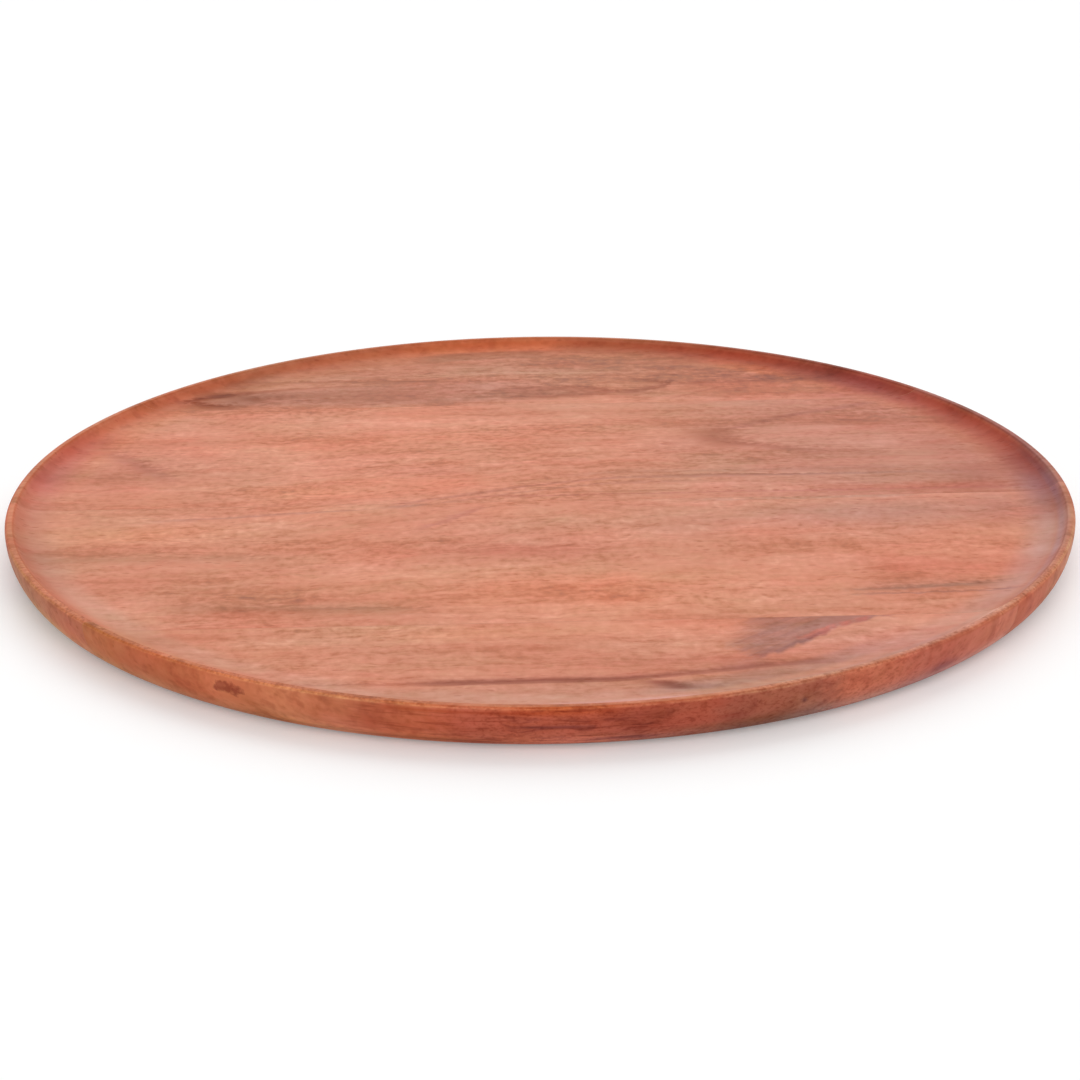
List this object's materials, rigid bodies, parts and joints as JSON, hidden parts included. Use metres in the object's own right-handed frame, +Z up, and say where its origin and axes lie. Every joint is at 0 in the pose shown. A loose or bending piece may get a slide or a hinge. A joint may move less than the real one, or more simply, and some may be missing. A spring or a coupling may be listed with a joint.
{
  "type": "charger plate",
  "caption": "Shallow round wooden charger plate turned from edge-glued boards, with a raised lip, a coved well for a dinner plate and a flat base.",
  "frame": {"origin": "centre of the flat base, on the surface that the plate stands on", "axes": "+Z up along the turning axis, +X along the grain of the boards, -Y towards the front board"},
  "size_m": [0.33, 0.33, 0.0138],
  "materials": {
    "front_board_wood": "satin oil over red-brown flat-sawn wood",
    "front_middle_board_wood": "satin oil over tan flat-sawn wood",
    "back_middle_board_wood": "satin oil over pinkish flat-sawn wood",
    "back_board_wood": "satin oil over flat-sawn wood with a grey-brown figure",
    "glue": "cured wood glue, sanded flush"
  },
  "bodies": {
    "root": {"front_board": "front_board_wood", "front_middle_board": "front_middle_board_wood", "back_middle_board": "back_middle_board_wood", "back_board": "back_board_wood", "front_glue_line": "glue", "middle_glue_line": "glue", "back_glue_line": "glue"}
  },
  "joints": []
}
